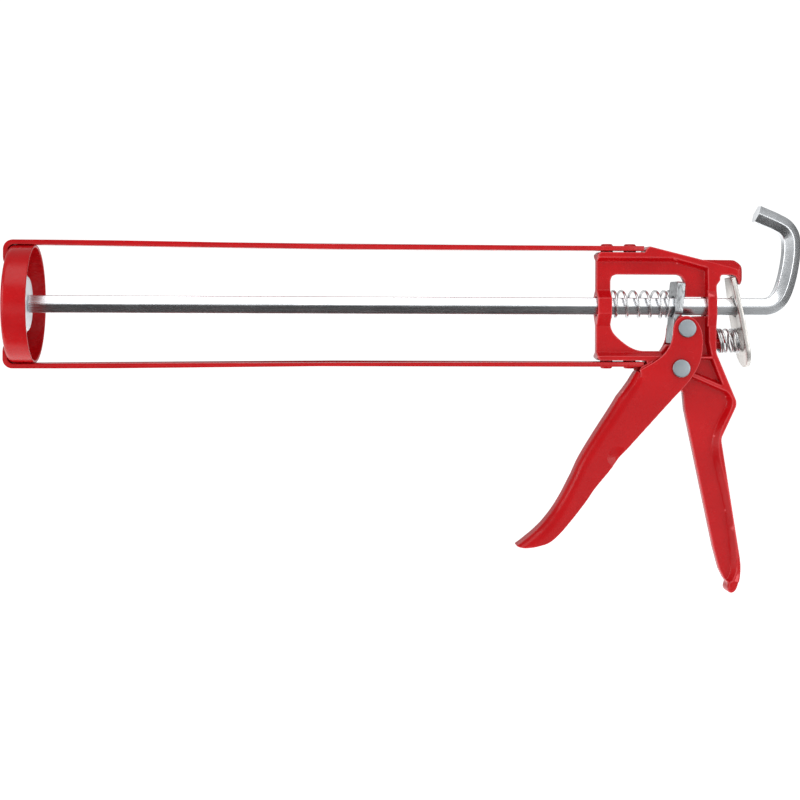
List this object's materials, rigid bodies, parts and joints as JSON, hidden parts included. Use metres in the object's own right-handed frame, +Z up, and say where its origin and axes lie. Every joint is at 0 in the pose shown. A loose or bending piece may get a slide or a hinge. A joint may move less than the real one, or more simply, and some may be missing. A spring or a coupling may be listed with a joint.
{
  "type": "caulking gun",
  "caption": "Skeleton caulking gun: front ring and two straps hold a sealant cartridge, a trigger drives a hooked hexagonal push rod.",
  "frame": {"origin": "on the rod's axis, at the inner face of the ring's front plate, where the cartridge's front end rests", "axes": "+X back along the rod to the handle, +Z up, with the handle below; mirrored about Y = 0"},
  "size_m": [0.3686, 0.0538, 0.1814],
  "materials": {
    "red_paint": "gloss powder coat",
    "zinc_steel": "bright zinc plate"
  },
  "bodies": {
    "frame": {"front_ring": "red_paint", "upper_strap": "red_paint", "lower_strap": "red_paint", "upper_front_strap_rivet": "red_paint", "upper_rear_strap_rivet": "red_paint", "lower_front_strap_rivet": "red_paint", "lower_rear_strap_rivet": "red_paint", "body_casting": "red_paint", "pivot_rivet": "zinc_steel", "main_spring": "zinc_steel", "brake_spring": "zinc_steel"},
    "rod": {"plunger_rod": "zinc_steel", "plunger_disc": "zinc_steel"},
    "lever": {"trigger": "red_paint", "thrust_rivet": "zinc_steel"},
    "driver": {"drive_plate": "zinc_steel"},
    "brake": {"brake_plate": "zinc_steel"}
  },
  "joints": [
    {"name": "rod_slide", "type": "slide", "parent": "frame", "child": "rod", "axis": [1, 0, 0], "range_m": [0, 0.25]},
    {"name": "trigger_pivot", "type": "hinge", "parent": "frame", "child": "lever", "pos_m": [0.3063, 0, -0.0287], "axis": [0, -1, 0], "range_deg": [0, 38], "stiffness_Nm_per_rad": 0.6, "springref_deg": -22.92},
    {"name": "drive_plate_slide", "type": "slide", "parent": "frame", "child": "driver", "axis": [-1, 0, 0], "range_m": [0, 0.0125], "deforming": ["main_spring"]},
    {"name": "brake_plate_tilt", "type": "hinge", "parent": "frame", "child": "brake", "pos_m": [0.332, 0, 0.0136], "axis": [0, 1, 0], "range_deg": [0, 8], "stiffness_Nm_per_rad": 0.8, "springref_deg": -11.46, "deforming": ["brake_spring"]}
  ],
  "couplings": [
    {"joint": "drive_plate_slide", "follows": "trigger_pivot", "m_per_rad": 0.0184}
  ]
}
